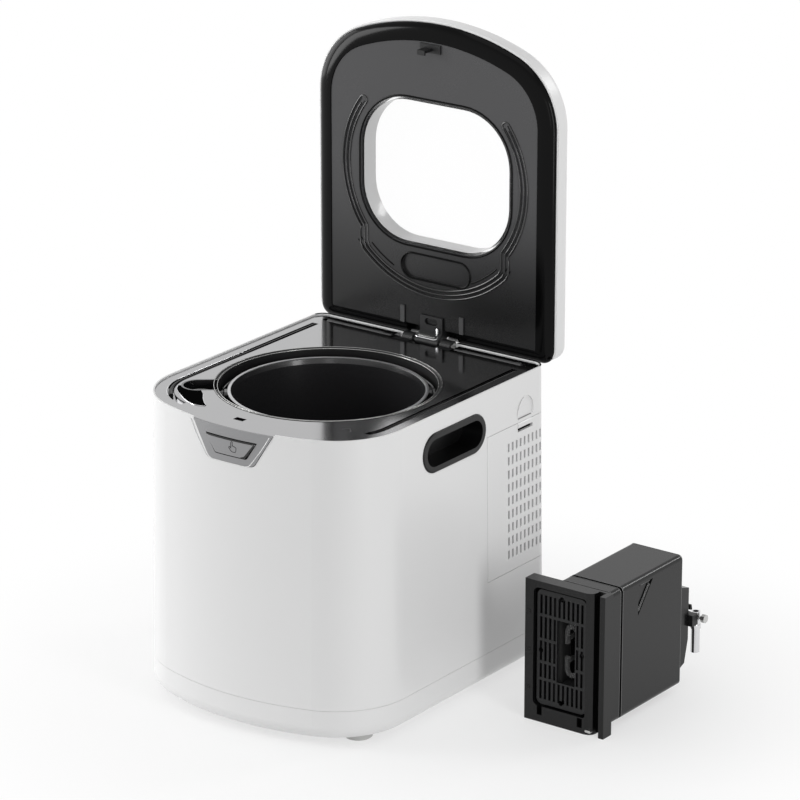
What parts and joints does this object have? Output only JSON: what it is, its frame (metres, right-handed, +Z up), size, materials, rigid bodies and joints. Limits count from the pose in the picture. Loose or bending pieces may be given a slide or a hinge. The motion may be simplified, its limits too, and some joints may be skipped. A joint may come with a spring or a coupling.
{
  "type": "electric food waste composter",
  "caption": "White electric food waste composter: flip-up windowed lid, lift-out bucket with bail, stirring drive, vented side door and a black air-cleaning cassette with a filter drawer.",
  "frame": {"origin": "centre of the underside of the whole part's bounding box, on the floor plane", "axes": "+Z up, -Y the machine's bowed front with the lid button, +X its right side with the vented door and the cassette"},
  "size_m": [0.4635, 0.3854, 0.6495],
  "materials": {
    "shell_white": "gloss white moulding",
    "deck_silver": "satin silver lacquer",
    "black_satin": "satin black moulding",
    "black_gloss": "polished black",
    "seal_black": "soft seal",
    "foot_rubber": "pale rubber",
    "pan_coating": "dark non-stick coating with a pale rolled rim",
    "steel": "plain",
    "bright_metal": "polished",
    "aluminium": "plain",
    "grey_resin": "plain grey moulding",
    "window_clear": "clear",
    "lamp_glass": "clear tube",
    "carbon": "pressed charcoal",
    "board_green": "solder resist"
  },
  "bodies": {
    "machine": {"base_tray": "shell_white", "feet": "foot_rubber", "body_shell": "shell_white", "deck": "deck_silver", "deck_seal": "seal_black", "bail_pocket": "black_gloss", "well_liner": "black_satin", "heater_plate": "aluminium", "drive_plate": "steel", "plate_screws": "steel", "motor": "steel", "gear_cover": "grey_resin", "control_board": "board_green", "power_inlet": "black_satin", "grip_right": "black_satin", "grip_left": "black_satin", "cassette_bay": "black_satin", "button_bezel": "deck_silver", "latch_cradle": "grey_resin", "button_spring": "steel", "hinge_base": "black_satin", "hinge_pin": "steel", "torsion_rods": "black_satin"},
    "bucket": {"bucket": "pan_coating"},
    "bail": {"bail_handle": "black_gloss"},
    "stirrer": {"agitator": "steel"},
    "drive": {"drive_wheel": "steel", "drive_coupling": "grey_resin"},
    "motor_rotor": {"pinion": "steel"},
    "door": {"side_door": "shell_white"},
    "door_latch": {"door_latch": "shell_white"},
    "button": {"lid_button": "deck_silver"},
    "latch": {"latch_hook": "grey_resin"},
    "lid": {"lid_outer": "shell_white", "lid_inner": "black_satin", "lid_gasket": "seal_black", "lid_window": "window_clear", "lid_catch": "black_satin", "lid_ribs": "black_satin", "hinge_arm": "black_satin", "hinge_clip": "bright_metal"},
    "cassette": {"cassette_flange": "black_satin", "cassette_case": "black_satin", "lamp_holder": "grey_resin", "uv_lamps": "lamp_glass", "fan_frame": "black_satin", "fan_baffle": "black_satin", "rear_block": "black_satin", "valve_bracket": "black_satin", "valve_tube": "bright_metal", "flange_screws": "steel"},
    "drawer": {"filter_drawer": "black_satin", "carbon_block": "carbon"},
    "fan": {"fan_rotor": "black_gloss"},
    "wing_screw": {"valve_screw": "black_satin"},
    "knob": {"valve_knob": "steel"}
  },
  "joints": [
    {"name": "lid_hinge", "type": "hinge", "parent": "machine", "child": "lid", "pos_m": [-0.084, 0.14465, 0.3145], "axis": [-1, 0, 0], "range_deg": [-90, 0]},
    {"name": "bucket_lift", "type": "slide", "parent": "machine", "child": "bucket", "axis": [0, 0, 1], "range_m": [0, 0.17]},
    {"name": "bail_pivot", "type": "hinge", "parent": "bucket", "child": "bail", "pos_m": [-0.084, -0.02685, 0.3045], "axis": [0.788, 0.6157, 0], "range_deg": [0, 100]},
    {"name": "stirrer_spin", "type": "hinge", "parent": "bucket", "child": "stirrer", "pos_m": [-0.084, -0.02685, 0.18], "axis": [0, 0, 1], "continuous": true},
    {"name": "drive_spin", "type": "hinge", "parent": "machine", "child": "drive", "pos_m": [-0.084, -0.02685, 0.06], "axis": [0, 0, 1], "continuous": true},
    {"name": "motor_spin", "type": "hinge", "parent": "machine", "child": "motor_rotor", "pos_m": [-0.13, -0.02685, 0.06], "axis": [0, 0, 1], "continuous": true},
    {"name": "side_door_off", "type": "slide", "parent": "machine", "child": "door", "axis": [1, 0, 0], "range_m": [0, 0.06]},
    {"name": "door_latch_slide", "type": "slide", "parent": "door", "child": "door_latch", "axis": [0, 0, -1], "range_m": [0, 0.0025], "stiffness_N_per_m": 300},
    {"name": "lid_button_press", "type": "slide", "parent": "machine", "child": "button", "axis": [0, 1, 0], "range_m": [0, 0.003], "stiffness_N_per_m": 400, "deforming": ["button_spring"]},
    {"name": "latch_release", "type": "slide", "parent": "machine", "child": "latch", "axis": [0, 1, 0], "range_m": [0, 0.003]},
    {"name": "cassette_lift", "type": "slide", "parent": "machine", "child": "cassette", "axis": [0, 0, 1], "range_m": [0, 0.1]},
    {"name": "filter_drawer_slide", "type": "slide", "parent": "cassette", "child": "drawer", "axis": [0, -1, 0], "range_m": [0, 0.045]},
    {"name": "fan_spin", "type": "hinge", "parent": "cassette", "child": "fan", "pos_m": [0.192, 0.10265, 0.078], "axis": [0, 1, 0], "continuous": true},
    {"name": "wing_screw_turn", "type": "hinge", "parent": "cassette", "child": "wing_screw", "pos_m": [0.213, 0.17975, 0.08], "axis": [0, 0, 1], "continuous": true},
    {"name": "valve_knob_turn", "type": "hinge", "parent": "cassette", "child": "knob", "pos_m": [0.227, 0.18715, 0.07], "axis": [1, 0, 0], "range_deg": [-90, 90]}
  ],
  "couplings": [
    {"joint": "motor_spin", "follows": "drive_spin", "ratio": -3.5},
    {"joint": "stirrer_spin", "follows": "drive_spin", "ratio": 1},
    {"joint": "latch_release", "follows": "lid_button_press", "ratio": 1}
  ]
}
